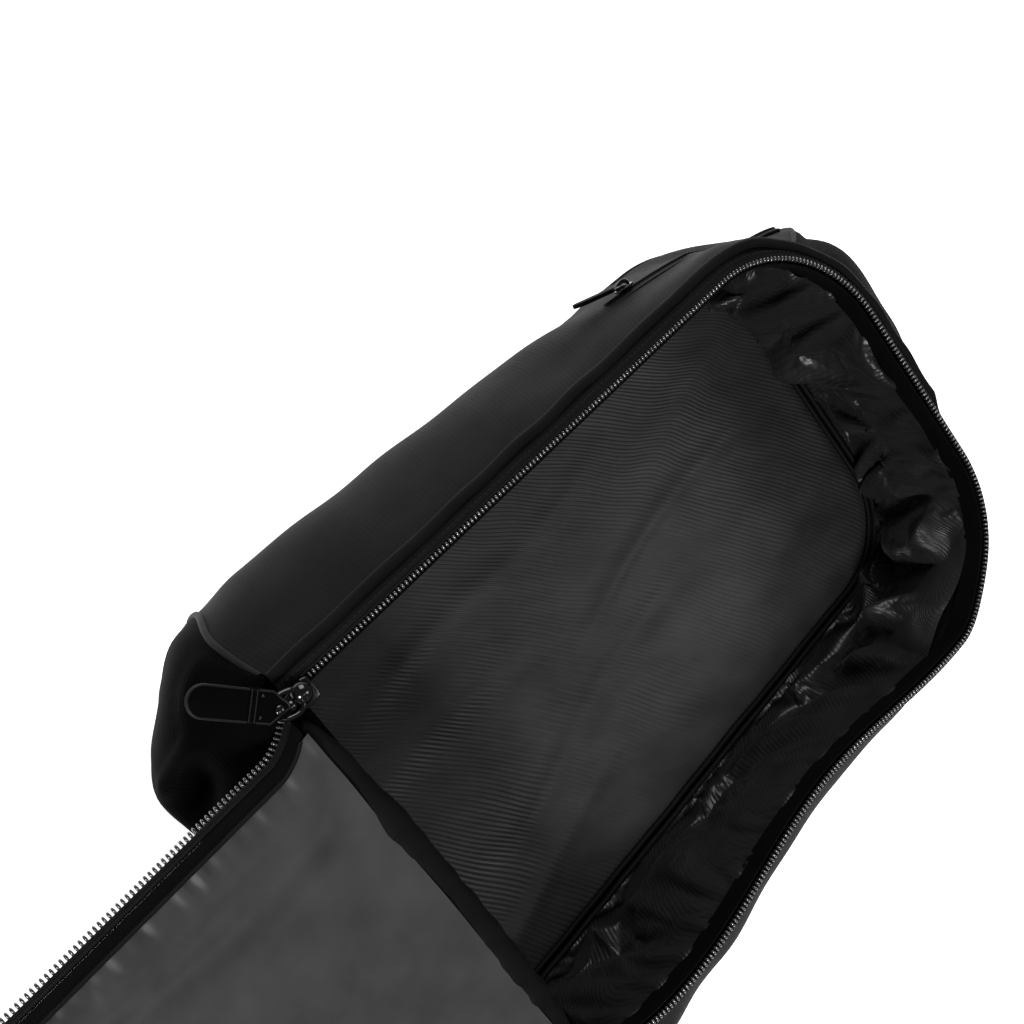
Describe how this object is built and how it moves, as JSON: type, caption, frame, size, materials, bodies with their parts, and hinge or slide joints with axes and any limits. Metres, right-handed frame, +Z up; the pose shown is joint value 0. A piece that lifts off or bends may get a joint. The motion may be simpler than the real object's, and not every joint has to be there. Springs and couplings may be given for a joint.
{
  "type": "ski bag",
  "caption": "Short black ski boot and gear bag lying on its back, its U-zipped lid folded open, with lined walls, padded floor, side pocket and carry handle.",
  "frame": {"origin": "middle of the underside of the back panel, on the surface the bag lies on", "axes": "+Z up out of the opening, +Y from the lid hinge towards the far end, +X to the right seen from the hinge end"},
  "size_m": [0.3314, 0.7923, 0.1249],
  "materials": {
    "shell_cloth": "matt black woven polyester with a fine crosswise rib",
    "lining_cloth": "black taffeta with a soft sheen and fine slub ribs",
    "floor_cloth": "charcoal crosswise-ribbed lining cloth",
    "foam": "soft closed-cell foam",
    "trim_cloth": "black binding and cord-filled piping",
    "zip_tape": "black woven zip tape",
    "zip_coil": "glossy black coil teeth",
    "black_metal": "gloss black lacquered metal",
    "pull_rubber": "satin black moulded pull with a raised edge",
    "webbing": "black woven strap"
  },
  "bodies": {
    "bag_body": {"back_panel": "shell_cloth", "back_foam": "foam", "floor_lining": "floor_cloth", "floor_binding": "trim_cloth", "back_piping": "trim_cloth", "left_wall": "shell_cloth", "far_end_wall": "shell_cloth", "right_wall": "shell_cloth", "near_end_wall": "shell_cloth", "left_lining": "lining_cloth", "far_end_lining": "lining_cloth", "right_lining": "lining_cloth", "near_end_lining": "lining_cloth", "near_left_piping": "trim_cloth", "near_right_piping": "trim_cloth", "far_left_piping": "trim_cloth", "far_right_piping": "trim_cloth", "body_zip_coil": "zip_coil", "body_zip_tape": "zip_tape", "rim_border": "shell_cloth", "rim_piping": "trim_cloth", "hinge_binding": "trim_cloth", "hinge_gusset": "shell_cloth", "pocket_zip_tape": "zip_tape", "pocket_zip_coil": "zip_coil", "side_pocket_bag": "lining_cloth", "handle_patch_near": "webbing", "handle_patch_far": "webbing", "carry_handle": "webbing"},
    "lid_near": {"lid_outer_near": "shell_cloth", "lid_foam_near": "foam", "lid_lining_near": "lining_cloth", "lid_zip_coil_left": "zip_coil", "lid_zip_coil_right": "zip_coil", "lid_zip_tape_left": "zip_tape", "lid_zip_tape_right": "zip_tape", "lid_border_left": "shell_cloth", "lid_border_right": "shell_cloth", "lid_piping_left": "trim_cloth", "lid_piping_right": "trim_cloth"},
    "lid_far": {"lid_outer_far": "shell_cloth", "lid_foam_far": "foam", "lid_lining_far": "lining_cloth", "lid_zip_coil_far": "zip_coil", "lid_zip_tape_far": "zip_tape", "lid_border_far": "shell_cloth", "lid_piping_far": "trim_cloth"},
    "slider_left": {"slider_left": "black_metal"},
    "bail_left": {"bail_left": "black_metal"},
    "pull_left": {"pull_tab_left": "pull_rubber"},
    "slider_right": {"slider_right": "black_metal"},
    "bail_right": {"bail_right": "black_metal"},
    "pull_right": {"pull_tab_right": "pull_rubber"},
    "pocket_slider": {"pocket_slider": "black_metal"},
    "pocket_pull": {"pocket_pull_tab": "pull_rubber"}
  },
  "joints": [
    {"name": "lid_hinge", "type": "hinge", "parent": "bag_body", "child": "lid_near", "pos_m": [0, -0.188, 0.114], "axis": [-1, 0, 0], "range_deg": [0, 178]},
    {"name": "lid_bend", "type": "hinge", "parent": "lid_near", "child": "lid_far", "pos_m": [0, -0.36806, 0.11528], "axis": [-1, 0, 0], "range_deg": [0, 36]},
    {"name": "zip_slide_left", "type": "slide", "parent": "bag_body", "child": "slider_left", "axis": [0, 1, 0], "range_m": [0, 0.25]},
    {"name": "bail_flip_left", "type": "hinge", "parent": "slider_left", "child": "bail_left", "pos_m": [-0.1165, -0.182, 0.1205], "axis": [-1, 0, 0], "range_deg": [0, 165]},
    {"name": "tab_swing_left", "type": "hinge", "parent": "bail_left", "child": "pull_left", "pos_m": [-0.1165, -0.194, 0.1228], "axis": [0, 0, 1], "range_deg": [-20, 60]},
    {"name": "zip_slide_right", "type": "slide", "parent": "bag_body", "child": "slider_right", "axis": [0, 1, 0], "range_m": [0, 0.25]},
    {"name": "bail_flip_right", "type": "hinge", "parent": "slider_right", "child": "bail_right", "pos_m": [0.1165, -0.182, 0.1205], "axis": [-1, 0, 0], "range_deg": [0, 165]},
    {"name": "tab_swing_right", "type": "hinge", "parent": "bail_right", "child": "pull_right", "pos_m": [0.1165, -0.194, 0.1228], "axis": [0, 0, -1], "range_deg": [-20, 60]},
    {"name": "pocket_zip_slide", "type": "slide", "parent": "bag_body", "child": "pocket_slider", "axis": [0.0529, 0.9986, 0], "range_m": [0, 0.042]},
    {"name": "pocket_pull_flip", "type": "hinge", "parent": "pocket_slider", "child": "pocket_pull", "pos_m": [-0.14546, 0.10431, 0.07249], "axis": [-0.0843, 0.0045, -0.9964], "range_deg": [-6, 150]}
  ],
  "couplings": [
    {"joint": "lid_bend", "follows": "lid_hinge", "ratio": 0.2022}
  ]
}
